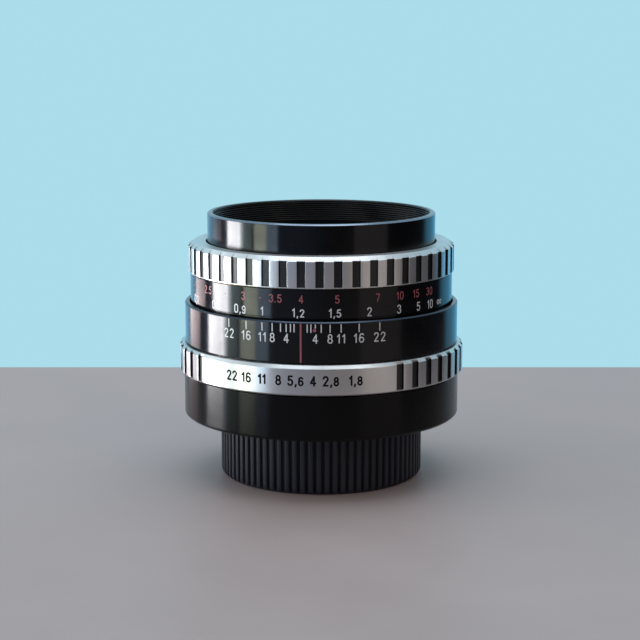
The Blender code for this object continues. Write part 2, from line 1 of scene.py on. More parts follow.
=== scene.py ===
"""Looks of the prime camera lens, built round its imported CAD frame.

Lengths are millimetres and turn into metres through MM, unless a comment says metres. Angles
on the scales are degrees from the index line, which faces -Y, and grow towards the right
side of the lens.
"""
import json
from math import atan2, copysign, cos, degrees, hypot, pi, radians, sin, sqrt, tan

import bmesh
import bpy
from mathutils import Matrix, Vector


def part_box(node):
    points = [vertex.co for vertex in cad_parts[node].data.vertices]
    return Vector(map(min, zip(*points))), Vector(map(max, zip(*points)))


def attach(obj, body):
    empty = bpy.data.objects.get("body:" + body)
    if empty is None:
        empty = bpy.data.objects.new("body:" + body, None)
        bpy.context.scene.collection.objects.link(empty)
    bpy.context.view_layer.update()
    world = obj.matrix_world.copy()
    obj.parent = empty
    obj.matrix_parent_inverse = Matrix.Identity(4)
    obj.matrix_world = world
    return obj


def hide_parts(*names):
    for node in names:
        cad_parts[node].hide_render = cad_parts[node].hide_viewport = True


MM = 0.001
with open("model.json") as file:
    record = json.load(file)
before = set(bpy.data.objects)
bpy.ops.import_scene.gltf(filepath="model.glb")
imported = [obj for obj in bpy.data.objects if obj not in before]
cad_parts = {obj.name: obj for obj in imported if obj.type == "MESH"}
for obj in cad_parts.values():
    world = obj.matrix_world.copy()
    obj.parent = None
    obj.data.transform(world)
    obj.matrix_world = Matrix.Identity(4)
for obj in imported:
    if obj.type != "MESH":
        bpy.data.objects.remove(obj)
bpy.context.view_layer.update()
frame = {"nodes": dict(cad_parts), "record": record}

# ---- Camera and table ----
CAMERA_DISTANCE = 377.1  # from the optical axis
CAMERA_HEIGHT = 101.8
CAMERA_SIDE = radians(8.06)  # to the right of the index line
CAMERA_PITCH = radians(10.10)
CAMERA_LENS = 95.2
CAMERA_SHIFT = -0.0019
TABLE_BACK = 116.5  # how far the table reaches behind the lens,
TABLE_FRONT = 250.0  # in front of it
TABLE_SIDE = 135.0  # and to each side
TABLE_DEPTH = 18.0

# ---- Shape details ----
SEGMENTS = 256  # round each turned piece
INSIDE_SEGMENTS = 128
HARD_CORNER = radians(38)  # an edge that bends more than this stays sharp
NEAR = 0.02  # how close a point is to a wall that it belongs to
RIBS = 80  # on the rear cap
RIB_DEPTH = 0.50
APERTURE_GROOVES = 38
APERTURE_PITCH = 7.378
APERTURE_FIRST = 39.7
GRIP_GROOVES = 48
GRIP_FIRST = 7.4
GROOVE_WIDTH = 1.80
FILTER_PITCH = 0.5
MOUNT_PITCH = 1.0
FOCAL_LENGTH = 50.0
HELICOID_TURN = 30.8  # degrees of focus ring for each mm of travel
INFINITY_MARK = 68.77  # where infinity stands at the built setting
FOOT = 0.3048  # metres
DEPTH_SPREAD = 1.44  # degrees from the index line to a depth mark, per f-number
INFRARED_MARK = 5.45
SCREW_ANGLES = (8.0, 188.0)  # of the grub screws, from +X
DEPTH_SCREW_HEIGHT = 31.5
GRIP_SCREW_HEIGHT = 49.3
DRIVE_ANGLE = 70.0  # of the screw that ties the aperture ring to its drive
DRIVE_HEIGHT = 27.5
PIN_CIRCLE = 17.6  # where the stop-down pin passes through the housing
PIN_ANGLE = 90.0
PIN_HOLE = 0.95
BLADE_PIVOTS = 18.2  # radius of the circle of the iris blades' pivots
BLADE_TURN = 13.24  # how far each blade stands turned in, as built
BLADE_EDGES = (17.6, 10.8)  # radii of a blade's outer and inner edge
BLADE_HALF = 0.06  # half its thickness
INLAY_DEPTH = 0.10
CAP_THREAD = 0.28  # how far the cap's thread goes in and out
BARE = (0.62, 0.61, 0.58)  # metal where the black is chipped off


def measured(node):
    """Inner radius, outer radius, bottom and top of a CAD node, in millimetres."""
    corners = frame["nodes"][node].data.vertices
    radii = [hypot(v.co.x, v.co.y) / MM for v in corners]
    low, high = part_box(node)
    return min(radii), max(radii), low.z / MM, high.z / MM


# ---- Material helpers ----
def feed(tree, node, inputs):
    """Link a node's inputs to sockets, or set them to plain values."""
    for key, value in inputs.items():
        if isinstance(value, bpy.types.NodeSocket):
            tree.links.new(value, node.inputs[key])
        else:
            node.inputs[key].default_value = value


def add(tree, kind, inputs, **settings):
    node = tree.nodes.new("ShaderNode" + kind)
    for name, value in settings.items():
        setattr(node, name, value)
    feed(tree, node, inputs)
    return node


def calc(tree, operation, first, second=0.0, clamp=False):
    node = add(tree, "Math", {0: first, 1: second}, operation=operation, use_clamp=clamp)
    return node.outputs[0]


def span(tree, value, low, high, to_low=0.0, to_high=1.0):
    node = add(tree, "MapRange", {"Value": value, "From Min": low, "From Max": high,
                                  "To Min": to_low, "To Max": to_high})
    return node.outputs[0]


def blend(tree, share, first, second):
    node = add(tree, "Mix", {0: share, 6: first, 7: second}, data_type="RGBA")
    return node.outputs[2]


def clouds(tree, vector, scale, detail=4.0, rough=0.55):
    node = add(tree, "TexNoise", {"Vector": vector, "Scale": scale, "Detail": detail,
                                  "Roughness": rough})
    return node.outputs["Fac"]


def rgb(value, share=1.0):
    return (value[0] * share, value[1] * share, value[2] * share, 1.0)


def blank(name):
    """A new material with its Principled shader and the coordinates of the lens."""
    material = bpy.data.materials.new(name)
    material.use_nodes = True
    tree = material.node_tree
    shader = tree.nodes["Principled BSDF"]
    place = add(tree, "TexCoord", {}).outputs["Object"]
    return material, tree, shader, place


def turning(tree, place, lines):
    """Coordinates that run in fine lines round the optical axis."""
    flat = add(tree, "VectorMath", {0: place, 1: (1, 1, 0)}, operation="MULTIPLY").outputs[0]
    radius = add(tree, "VectorMath", {0: flat}, operation="LENGTH").outputs["Value"]
    direction = add(tree, "VectorMath", {0: flat}, operation="NORMALIZE").outputs[0]
    direction = add(tree, "VectorMath", {0: direction, 3: 3.0}, operation="SCALE").outputs[0]
    height = add(tree, "SeparateXYZ", {0: place}).outputs["Z"]
    lift = calc(tree, "ADD", height, calc(tree, "MULTIPLY", radius, 0.37))
    lift = calc(tree, "MULTIPLY", lift, lines)
    upright = add(tree, "CombineXYZ", {"Z": lift}).outputs[0]
    return add(tree, "VectorMath", {0: direction, 1: upright}, operation="ADD").outputs[0]


def turned_finish(name, colour, patch_colour, metallic, roughness, anisotropy, lines, depth,
                  chipped=False, dust=0.0, gloss=0.5, contrast=0.35):
    """Lathe-turned metal: fine lines round the axis, patches, small chips on edges, and dust.

    lines sets how close the turned lines are, depth how deep in millimetres, and contrast how
    much darker.
    """
    material, tree, shader, place = blank(name)
    streak = clouds(tree, turning(tree, place, lines), 1.0, 6.0, 0.6)
    patch = clouds(tree, place, 140.0, 5.0, 0.6)
    fine = clouds(tree, place, 2600.0, 3.0, 0.6)
    base = blend(tree, span(tree, patch, 0.35, 0.7), rgb(colour), rgb(patch_colour))
    base = blend(tree, span(tree, streak, 0.25, 0.75, 0.0, contrast), base, rgb(colour, 0.72))
    rough = span(tree, streak, 0.25, 0.75, roughness[0], roughness[1])
    rough = calc(tree, "ADD", rough, span(tree, patch, 0.3, 0.75, -0.03, 0.06), clamp=True)
    if chipped:
        edge = add(tree, "Attribute", {}, attribute_name="edge").outputs["Fac"]
        chips = span(tree, clouds(tree, place, 420.0, 6.0, 0.7), 0.692, 0.752)
        worn = calc(tree, "MULTIPLY", span(tree, edge, 0.35, 0.7), chips, True)
        base = blend(tree, worn, base, rgb(BARE))
        rough = calc(tree, "MAXIMUM", rough, calc(tree, "MULTIPLY", worn, 0.34))
        metallic = calc(tree, "MAXIMUM", worn, metallic)
    if dust > 0.0:
        specks = add(tree, "TexVoronoi", {"Vector": place, "Scale": 900.0}).outputs["Distance"]
        specks = span(tree, specks, 0.05, 0.11, 1.0, 0.0)
        gate = span(tree, clouds(tree, place, 260.0, 3.0), 0.52, 0.68, 0.0, dust)
        specks = calc(tree, "MULTIPLY", specks, gate, True)
        base = blend(tree, specks, base, (0.32, 0.30, 0.27, 1.0))
        rough = calc(tree, "MAXIMUM", rough, calc(tree, "MULTIPLY", specks, 0.8))
    if anisotropy > 0.0:
        tangent = add(tree, "Tangent", {}, direction_type="RADIAL", axis="Z").outputs[0]
        feed(tree, shader, {"Anisotropic": anisotropy, "Anisotropic Rotation": 0.25,
                            "Tangent": tangent})
    relief = calc(tree, "ADD", streak, calc(tree, "MULTIPLY", fine, 0.25))
    bump = add(tree, "Bump", {"Height": relief, "Strength": 0.5, "Distance": depth * MM})
    feed(tree, shader, {"Base Color": base, "Metallic": metallic, "Roughness": rough,
                        "Specular IOR Level": gloss, "Normal": bump.outputs[0]})
    return material


def grained_finish(name, colour, patch_colour, roughness, grain, depth, scuff=0.0, dust=0.0,
                   gloss=0.5):
    """Moulded plastic or paint: fine grain, patches, pale scuffs and dust."""
    material, tree, shader, place = blank(name)
    patch = clouds(tree, place, 120.0, 5.0, 0.6)
    fine = clouds(tree, place, grain, 4.0, 0.65)
    base = blend(tree, span(tree, patch, 0.3, 0.7), rgb(colour), rgb(patch_colour))
    rough = span(tree, fine, 0.3, 0.7, roughness[0], roughness[1])
    if scuff > 0.0:
        edge = add(tree, "Attribute", {}, attribute_name="edge").outputs["Fac"]
        marks = span(tree, clouds(tree, place, 700.0, 6.0, 0.7), 0.45, 0.75, 0.0, scuff)
        marks = calc(tree, "MULTIPLY", marks, edge, True)
        base = blend(tree, marks, base, (0.16, 0.16, 0.165, 1.0))
        rough = calc(tree, "ADD", rough, calc(tree, "MULTIPLY", marks, 0.3), True)
    if dust > 0.0:
        settled = span(tree, clouds(tree, place, 1100.0, 5.0, 0.7), 0.5, 0.72, 0.0, dust)
        base = blend(tree, settled, base, (0.20, 0.19, 0.17, 1.0))
    bump = add(tree, "Bump", {"Height": fine, "Strength": 0.6, "Distance": depth * MM})
    feed(tree, shader, {"Base Color": base, "Roughness": rough, "Specular IOR Level": gloss,
                        "Normal": bump.outputs[0]})
    return material


def coated_finish(name, tint, body_colour):
    """Optical glass with a single-layer coating, a few dust specks and faint haze."""
    material, tree, shader, place = blank(name)
    haze = span(tree, clouds(tree, place, 180.0, 5.0), 0.35, 0.75, 0.0, 0.012)
    specks = add(tree, "TexVoronoi", {"Vector": place, "Scale": 700.0}).outputs["Distance"]
    specks = span(tree, specks, 0.03, 0.07, 0.25, 0.0)
    feed(tree, shader, {"Base Color": rgb(body_colour), "Transmission Weight": 1.0,
                        "IOR": 1.62, "Specular Tint": rgb(tint),
                        "Roughness": calc(tree, "ADD", haze, specks, True)})
    return material


anodised = turned_finish(
    "black_anodised_metal", (0.0010, 0.0011, 0.0016), (0.0017, 0.0016, 0.0018), 0.0,
    (0.15, 0.21), 0.9, 9000, 0.0012, chipped=True, dust=0.16, gloss=0.35)
satin_black = turned_finish(
    "black_satin_metal", (0.0011, 0.0010, 0.0012), (0.0019, 0.0017, 0.0018), 0.0,
    (0.17, 0.24), 0.9, 7000, 0.0012, chipped=True, dust=0.20, gloss=0.17)
# The front rim's cut metal chamfer: its blue colour and brightness are a painted reflection of
# the blue backdrop.
rim_painted_reflection = turned_finish(
    "cut_rim_painted_blue_reflection", (0.25, 0.29, 0.36), (0.20, 0.23, 0.29), 1.0, (0.20, 0.30), 0.0,
    9000, 0.0010)
# A dimmer copy of the rim's finish for the depth ring's top chamfer: a cut edge whose blue
# colour and brightness are a painted reflection.
edge_painted_reflection = turned_finish(
    "cut_edge_painted_blue_reflection", (0.055, 0.068, 0.090), (0.04, 0.05, 0.07), 1.0, (0.20, 0.30), 0.0,
    9000, 0.0010)
bore_black = turned_finish(
    "black_threaded_bore", (0.0016, 0.0021, 0.0034), (0.0026, 0.0029, 0.0040), 0.0,
    (0.30, 0.42), 0.0, 9000, 0.002, dust=0.15, gloss=0.26)
aluminium = turned_finish(
    "brushed_aluminium", (0.64, 0.64, 0.63), (0.59, 0.585, 0.575), 1.0, (0.28, 0.34), 0.75,
    16000, 0.0009, contrast=0.12)
grip_aluminium = turned_finish(
    "bright_aluminium", (0.70, 0.70, 0.70), (0.65, 0.65, 0.64), 1.0, (0.34, 0.41), 0.66,
    16000, 0.0009, contrast=0.12)
matt_black = turned_finish(
    "matt_black_paint", (0.010, 0.010, 0.010), (0.014, 0.013, 0.012), 0.0, (0.50, 0.66), 0.0,
    7000, 0.010, dust=0.5)
brass = turned_finish(
    "turned_brass", (0.62, 0.45, 0.20), (0.50, 0.36, 0.17), 1.0, (0.24, 0.40), 0.5, 9000,
    0.006)
steel = turned_finish(
    "polished_steel", (0.56, 0.56, 0.57), (0.48, 0.48, 0.50), 1.0, (0.18, 0.32), 0.0, 9000,
    0.003)
groove_paint = grained_finish(
    "groove_black_paint", (0.0040, 0.0040, 0.0048), (0.0070, 0.0068, 0.0070), (0.32, 0.46),
    3000, 0.010, dust=0.04, gloss=0.55)
plastic = grained_finish(
    "moulded_black_plastic", (0.030, 0.032, 0.043), (0.036, 0.038, 0.049), (0.34, 0.46),
    1800, 0.0007, scuff=0.030, gloss=0.14)
# Near-black plastic for the gaps between the rear cap's ribs: a painted shade for the shade
# that falls deep between them.
cap_gap_painted_shade = grained_finish(
    "black_plastic_painted_gap_shade", (0.0012, 0.0012, 0.0018), (0.0022, 0.0022, 0.0026), (0.40, 0.50),
    1800, 0.003, gloss=0.2)
blade_steel = grained_finish(
    "blackened_blade_steel", (0.055, 0.055, 0.060), (0.040, 0.040, 0.046), (0.30, 0.44),
    2200, 0.003)
white_fill = grained_finish(
    "white_engraving_fill", (0.70, 0.71, 0.72), (0.60, 0.61, 0.61), (0.45, 0.60), 4000, 0.010)
red_fill = grained_finish(
    "red_engraving_fill", (0.38, 0.100, 0.116), (0.30, 0.075, 0.086), (0.45, 0.60), 4000,
    0.010)
black_fill = grained_finish(
    "black_engraving_fill", (0.004, 0.004, 0.005), (0.007, 0.007, 0.008), (0.55, 0.70), 4000,
    0.004, gloss=0.12)
violet_glass = coated_finish("violet_coated_glass", (0.20, 0.15, 0.50), (0.97, 0.96, 0.98))
amber_glass = coated_finish("amber_coated_glass", (0.50, 0.33, 0.15), (0.98, 0.97, 0.96))


# ---- Shape helpers ----
def settle(piece, body, nodes):
    """Make a piece ride on its body and stand for its CAD nodes."""
    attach(piece, body)
    if nodes:
        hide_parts(*nodes)
    return piece


def placed(name, data):
    """A new object in the scene."""
    made = bpy.data.objects.new(name, data)
    bpy.context.scene.collection.objects.link(made)
    return made


def mesh_piece(name, points, faces, materials, picks=None, edges=None, weighted=True):
    """A mesh object with smooth shading, hard corners and an edge-wear attribute."""
    mesh = bpy.data.meshes.new(name)
    mesh.from_pydata([Vector(p) * MM for p in points], [], faces)
    for material in materials:
        mesh.materials.append(material)
    if picks is not None:
        mesh.polygons.foreach_set("material_index", picks)
    if edges is not None:
        wear = mesh.attributes.new("edge", "FLOAT", "POINT")
        wear.data.foreach_set("value", edges)
    bm = bmesh.new()
    bm.from_mesh(mesh)
    bmesh.ops.remove_doubles(bm, verts=bm.verts, dist=1e-7)
    bmesh.ops.recalc_face_normals(bm, faces=bm.faces)
    bm.to_mesh(mesh)
    bm.free()
    mesh.shade_smooth()
    mesh.set_sharp_from_angle(angle=HARD_CORNER)
    piece = placed(name, mesh)
    if weighted:
        even = piece.modifiers.new("Even shading", "WEIGHTED_NORMAL")
        even.keep_sharp = True
    return piece


def rounded(outline, closed=True, steps=4, support=0.12):
    """(r, z, rounding) corners turned into (r, z, wear) points with soft corners."""
    points = []
    count = len(outline)
    for index, corner in enumerate(outline):
        r, z = corner[0], corner[1]
        soft = corner[2] if len(corner) > 2 else 0.0
        inside = closed or 0 < index < count - 1
        if soft == 0.0 or not inside:
            points.append((r, z, 0.0))
            continue
        here = Vector((r, z))
        before = Vector(outline[index - 1][:2]) - here
        after = Vector(outline[(index + 1) % count][:2]) - here
        turn = after.x * before.y - after.y * before.x
        wear = 1.0 if turn > 0 else 0.0
        way_in = before.normalized()
        way_out = after.normalized()
        reach = soft + support
        if before.length > 2.5 * reach:
            points.append((*(here + way_in * reach), 0.0))
        for step in range(steps + 1):
            t = step / steps
            one = here + way_in * soft * (1 - t)
            two = here + way_out * soft * t
            points.append((*(one * (1 - t) + two * t), wear))
        if after.length > 2.5 * reach:
            points.append((*(here + way_out * reach), 0.0))
    return points


def shell(name, columns, materials, closed=True, pick=None):
    """A surface through columns of (angle, [(r, z, wear), ...]), closed round the axis."""
    rows = len(columns[0][1])
    points = []
    edges = []
    for angle, section in columns:
        turn = radians(angle)
        for r, z, wear in section:
            points.append((r * cos(turn), r * sin(turn), z))
            edges.append(wear)
    faces = []
    picks = []
    for column in range(len(columns)):
        following = (column + 1) % len(columns)
        for row in range(rows if closed else rows - 1):
            up = (row + 1) % rows
            faces.append((column * rows + row, following * rows + row,
                          following * rows + up, column * rows + up))
            picks.append(0 if pick is None else pick(column, row))
    return mesh_piece(name, points, faces, materials, picks, edges)


def chooser(section, zones):
    """Pick each face's material: zone 1 is the first of (inner r, outer r, low z, high z)."""
    def pick(column, row):
        first = section[row]
        second = section[(row + 1) % len(section)]
        r = (first[0] + second[0]) / 2
        z = (first[1] + second[1]) / 2
        for number, (inner, outer, low, high) in enumerate(zones, 1):
            if inner < r < outer and low < z < high:
                return number
        return 0
    return pick


def turned(name, outline, material, body, nodes, closed=True,
           segments=SEGMENTS, extra=(), zones=()):
    """A piece turned from a counter-clockwise outline of (r, z, rounding) corners.

    The faces inside the zones take the extra materials, in the same order.
    """
    section = rounded(outline, closed)
    columns = [(360 * index / segments, section) for index in range(segments)]
    piece = shell(name, columns, [material, *extra], closed, chooser(section, zones))
    return settle(piece, body, nodes)


def turned_inside(name, outline, body, node):
    """A matt black piece inside the lens."""
    return turned(name, outline, matt_black, body, [node],
                  segments=INSIDE_SEGMENTS)


def thread_depth(z, angle, pitch, low, high):
    """0 at a thread's crest and 1 at its root, fading out at both ends."""
    phase = (z / pitch - angle / 360.0) % 1.0
    wave = 1.0 - abs(2.0 * phase - 1.0)
    wave = min(1.0, max(0.0, 1.35 * wave - 0.15))
    fade = min(1.0, max(0.0, (z - low) / (0.6 * pitch)), max(0.0, (high - z) / (0.6 * pitch)))
    return wave * fade


def stepped(section, wall, pitch):
    """A section with an added point at each eighth of a thread's pitch along one wall."""
    dense = []
    for index, (r, z, wear) in enumerate(section):
        dense.append((r, z, wear))
        following = section[(index + 1) % len(section)]
        if abs(r - wall) < NEAR and abs(following[0] - wall) < NEAR:
            steps = max(1, int(abs(following[1] - z) / (pitch / 8)))
            for step in range(1, steps):
                dense.append((r, z + (following[1] - z) * step / steps, 0.0))
    return dense


def threaded(name, outline, wall, depth, pitch, low, high, material, body, nodes,
             segments=SEGMENTS, extra=(), zones=()):
    """A turned piece whose wall at one radius carries a screw thread from low to high."""
    dense = stepped(rounded(outline), wall, pitch)
    columns = []
    for index in range(segments):
        angle = 360 * index / segments
        cut = []
        for r, z, wear in dense:
            if abs(r - wall) < NEAR and low < z < high:
                r += depth * thread_depth(z, angle, pitch, low, high)
            cut.append((r, z, wear))
        columns.append((angle, cut))
    piece = shell(name, columns, [material, *extra], True, chooser(dense, zones))
    return settle(piece, body, nodes)


def circle(count):
    """Angles evenly spaced round a circle, in radians."""
    return [2 * pi * index / count for index in range(count)]


def band(first, second):
    """The faces between two loops of equally many corners."""
    following = [*range(1, len(first)), 0]
    return [(first[index], first[after], second[after], second[index])
            for index, after in enumerate(following)]


def block(x, y, z):
    """A box of these sizes round the origin, as a bmesh."""
    bm = bmesh.new()
    bmesh.ops.create_cube(bm, size=1.0)
    bmesh.ops.scale(bm, vec=(x * MM, y * MM, z * MM), verts=bm.verts)
    return bm


def cut_away(piece, bm, place, rotation, before_shading=False):
    """Take a bmesh away from a piece, and apply the piece's modifiers to its mesh."""
    mesh = bpy.data.meshes.new("cutter")
    bm.to_mesh(mesh)
    bm.free()
    cutter = placed("cutter", mesh)
    cutter.location = Vector(place) * MM
    cutter.rotation_euler = rotation
    cut = piece.modifiers.new("Cut", "BOOLEAN")
    cut.object = cutter
    cut.solver = "EXACT"
    if before_shading:
        piece.modifiers.move(len(piece.modifiers) - 1, 0)
    depsgraph = bpy.context.evaluated_depsgraph_get()
    made = bpy.data.meshes.new_from_object(piece.evaluated_get(depsgraph))
    piece.modifiers.clear()
    piece.data = made
    bpy.data.objects.remove(cutter)


def drill(piece, out, angle, z, radius, sideways=True):
    """Bore a hole at a radius, angle and height: sideways from outside, or upright."""
    bm = bmesh.new()
    bmesh.ops.create_cone(bm, cap_ends=True, segments=32, radius1=radius * MM,
                          radius2=radius * MM, depth=2.4 * MM)
    turn = radians(angle)
    cut_away(piece, bm, (out * cos(turn), out * sin(turn), z),
             (0.0, radians(90 if sideways else 0), turn), True)


def grooved(name, outline, floor, groove_bottom, count, pitch, first, body, node, metal):
    """An aluminium ring whose upright grooves are painted black.

    The grooves go in to the radius floor, and up from groove_bottom.
    """
    outer = max(corner[0] for corner in outline)
    section = []
    plain = rounded(outline, True, 3, 0.1)
    for index, point in enumerate(plain):
        section.append(point)
        following = plain[(index + 1) % len(plain)]
        low, high = sorted((point[1], following[1]))
        outside = abs(point[0] - outer) < 1e-6 and abs(following[0] - outer) < 1e-6
        if outside and low < groove_bottom - 0.05 and high > groove_bottom + 0.05:
            section += [(outer, groove_bottom + rise, 0.0) for rise in (-0.03, 0.0, 0.06)]

    def carved(depth):
        result = []
        for r, z, wear in section:
            if z >= groove_bottom + 0.05:
                r = min(r, max(floor, outer - depth))
            elif z >= groove_bottom - 0.001:
                r = min(r, max(floor + 0.06, outer - depth))
            result.append((r, z, wear))
        return result

    sections = {"land": section, "lip": carved(0.035), "hollow": carved(outer)}
    half = degrees(GROOVE_WIDTH / 2 / outer)
    soft = degrees(0.05 / outer)
    columns = []
    kinds = []

    def column(angle, kind):
        columns.append((angle - 90.0, sections[kind]))
        kinds.append(kind)

    for groove in range(count):
        middle = first + groove * pitch
        column(middle - half - soft, "land")
        column(middle - half, "lip")
        for share in (-0.985, -0.5, 0.0, 0.5, 0.985):
            column(middle + half * share, "hollow")
        column(middle + half, "lip")
        column(middle + half + soft, "land")
        gap = pitch if groove < count - 1 else 360.0 - (count - 1) * pitch
        clear = gap - 2 * (half + soft)
        steps = max(3, round(clear / 1.4))
        for step in range(1, steps):
            column(middle + half + soft + clear * step / steps, "land")

    deep = [z >= groove_bottom - 0.001 and r > floor + 0.001 for r, z, wear in section]

    def pick(index, row):
        inside = "hollow" in (kinds[index], kinds[(index + 1) % len(kinds)])
        return 1 if inside and deep[row] and deep[(row + 1) % len(deep)] else 0

    piece = shell(name, columns, [metal, groove_paint], True, pick)
    return settle(piece, body, [node])


# ---- Numerals and marks ----
def arc(x, y, width, height, start, end, steps=14):
    """Points on an ellipse from one angle to another."""
    turns = [radians(start + (end - start) * step / steps) for step in range(steps + 1)]
    return [(x + width * cos(t), y + height * sin(t)) for t in turns]


SIX = [arc(0.25, 0.29, 0.25, 0.29, 0, 360, 24),
       arc(0.27, 0.72, 0.24, 0.28, 35, 150) + [(0.01, 0.5), (0.0, 0.3)]]
INFINITY_LOOP = [(0.46 + 0.46 * cos(t) / (1 + sin(t) ** 2),
                  0.42 + 1.25 * 0.46 * sin(t) * cos(t) / (1 + sin(t) ** 2))
                 for t in [radians(10 * step) for step in range(37)]]
GLYPHS = {
    "0": (0.48, [arc(0.24, 0.74, 0.24, 0.26, 0, 180) + arc(0.24, 0.26, 0.24, 0.26, 180, 360)
                 + [(0.48, 0.74)]]),
    "1": (0.22, [[(0.0, 0.76), (0.2, 0.97)], [(0.2, 1.0), (0.2, 0.0)]]),
    "2": (0.48, [arc(0.24, 0.75, 0.24, 0.25, 170, -35) + [(0.02, 0.0)],
                 [(0.02, 0.0), (0.48, 0.0)]]),
    "3": (0.48, [arc(0.23, 0.77, 0.22, 0.23, 160, -90), arc(0.23, 0.27, 0.25, 0.27, 90, -160)]),
    "4": (0.52, [[(0.37, 1.0), (0.0, 0.27)], [(0.0, 0.27), (0.52, 0.27)],
                 [(0.37, 1.0), (0.37, 0.0)]]),
    "5": (0.48, [[(0.44, 1.0), (0.07, 1.0)], [(0.07, 1.0), (0.04, 0.55)],
                 arc(0.22, 0.31, 0.26, 0.31, 128, -150, 18)]),
    "6": (0.50, SIX),
    "7": (0.46, [[(0.0, 1.0), (0.46, 1.0)], [(0.46, 1.0), (0.15, 0.0)]]),
    "8": (0.50, [arc(0.25, 0.76, 0.21, 0.24, -90, 270, 22),
                 arc(0.25, 0.26, 0.25, 0.26, 90, 450, 24)]),
    "9": (0.50, [[(0.50 - x, 1.0 - y) for x, y in stroke] for stroke in SIX]),
    ",": (0.06, [[(0.06, 0.05), (0.0, -0.16)]]),
    ".": (0.05, [[(0.025, 0.0), (0.026, 0.03)]]),
    "i": (0.92, [INFINITY_LOOP]),
}


def written(text, middle, bottom, height, radius, small=1.0, gap=0.34):
    """Strokes of a number, in (angle from the index line, z), centred on an angle.

    small is the height of the figures after a comma, as a share of the others'.
    """
    strokes = []
    x = 0.0
    size = height
    for letter in text:
        width, lines = GLYPHS[letter]
        for line in lines:
            strokes.append([(x + px * size, bottom + py * size) for px, py in line])
        x += (width + gap) * size
        if letter == ",":
            size = height * small
    total = x - gap * size
    return [[(middle + degrees((px - total / 2) / radius), py) for px, py in stroke]
            for stroke in strokes]


def inlay(name, strokes, width, radius, material, body, proud=0.012):
    """Strokes of paint filled flush into a turned wall, as closed strips with round ends."""
    points = []
    faces = []
    half = width / 2

    def corner(x, z, lift):
        turn = radians(x) - pi / 2
        points.append(((radius + lift) * cos(turn), (radius + lift) * sin(turn), z))
        return len(points) - 1

    for stroke in strokes:
        path = [Vector((radians(x) * radius, z)) for x, z in stroke]
        left = []
        right = []
        for index, here in enumerate(path):
            way = (path[min(index + 1, len(path) - 1)] - path[max(index - 1, 0)]).normalized()
            side = Vector((-way.y, way.x)) * half
            left.append(here + side)
            right.append(here - side)
        caps = []
        for centre, before in ((path[-1], path[-2]), (path[0], path[1])):
            way = (centre - before).normalized()
            side = Vector((-way.y, way.x))
            caps.append([centre + (side * cos(t) + way * sin(t)) * half
                         for t in [radians(a) for a in (30, 60, 90, 120, 150)]])
        rim = left + caps[0] + right[::-1] + caps[1]
        upper = [corner(degrees(p.x / radius), p.y, proud) for p in rim]
        lower = [corner(degrees(p.x / radius), p.y, -INLAY_DEPTH) for p in rim]
        count = len(left)
        last = 2 * count + len(caps[0]) - 1  # where the right side is back at its start
        for face in (upper, lower):
            faces += [(face[index], face[index + 1], face[last - 1 - index], face[last - index])
                      for index in range(count - 1)]
            faces.append(tuple(face[count - 1:count + len(caps[0]) + 1]))
            faces.append((face[0], *reversed(face[last:])))
        faces += band(upper, lower)
    piece = mesh_piece(name, points, faces, [material], weighted=False)
    return settle(piece, body, [])


def distance_angle(metres):
    """Where a distance stands on the focusing scale."""
    ratio = metres * 1000.0 / FOCAL_LENGTH - 2.0
    travel = FOCAL_LENGTH * (ratio - sqrt(ratio * ratio - 4.0)) / 2.0
    return INFINITY_MARK - HELICOID_TURN * travel


# ---- Rear cap ----
def make_rear_cap():
    _, radius, bottom, top = measured("rear_cap")
    bore = 21.3
    floor = 1.6
    thread = (7.5, top - 0.3)  # the heights it runs between
    ribbed = (bottom + 0.3, top - 1.2)
    per_rib = 12
    outline = [
        (0.0, bottom + 0.25),
        (15.0, bottom + 0.25, 0.1),
        (15.4, bottom, 0.1),
        (radius - 0.8, bottom, 0.5),
        (radius, bottom + 0.8, 0.4),
        (radius, bottom + 1.6),
        (radius, top - 1.5),
        (radius, top - 1.0),
        (radius, top, 0.2),
        (bore, top, 0.2),
        (bore, floor, 0.2),
        (12.0, floor, 0.15),
        (11.8, floor + 0.25, 0.1),
        (0.0, floor + 0.25),
    ]
    dense = stepped(rounded(outline, False), bore, MOUNT_PITCH)
    columns = []
    for index in range(RIBS * per_rib):
        angle = 360 * index / (RIBS * per_rib)
        across = abs(2 * (index % per_rib) / per_rib - 1)
        dip = min(1.0, max(0.0, (across - 0.51) / 0.12))
        crown = 0.07 * min(1.0, across / 0.5) ** 2
        cut = []
        for r, z, wear in dense:
            if r > bore + 0.3 and ribbed[0] < z < ribbed[1]:
                r -= min(1.0, (z - ribbed[0]) / 0.5) * max(crown, RIB_DEPTH * dip)
                wear = max(wear, 0.8 if 0.45 < across < 0.55 else 0.0)
            if abs(r - bore) < 1e-6 and thread[0] < z < thread[1]:
                root = thread_depth(z, angle, MOUNT_PITCH, *thread)
                crest = thread_depth(z, angle + 180, MOUNT_PITCH, *thread)
                r += CAP_THREAD * (root - crest)
            cut.append((r, z, wear))
        columns.append((angle, cut))

    # Faces deep in the gaps between the ribs take the near-black plastic, a painted shade.
    def pick(column, row):
        r, z, wear = dense[row]
        walled = r > bore + 0.3 and ribbed[0] < z < ribbed[1] and dense[row + 1][1] < top - 0.9
        across = abs(2 * ((column + 0.5) % per_rib) / per_rib - 1)
        return 1 if walled and across > 0.6 else 0

    piece = shell("ribbed_rear_cap", columns, [plastic, cap_gap_painted_shade], False, pick)
    settle(piece, "rear_cap", ["rear_cap"])


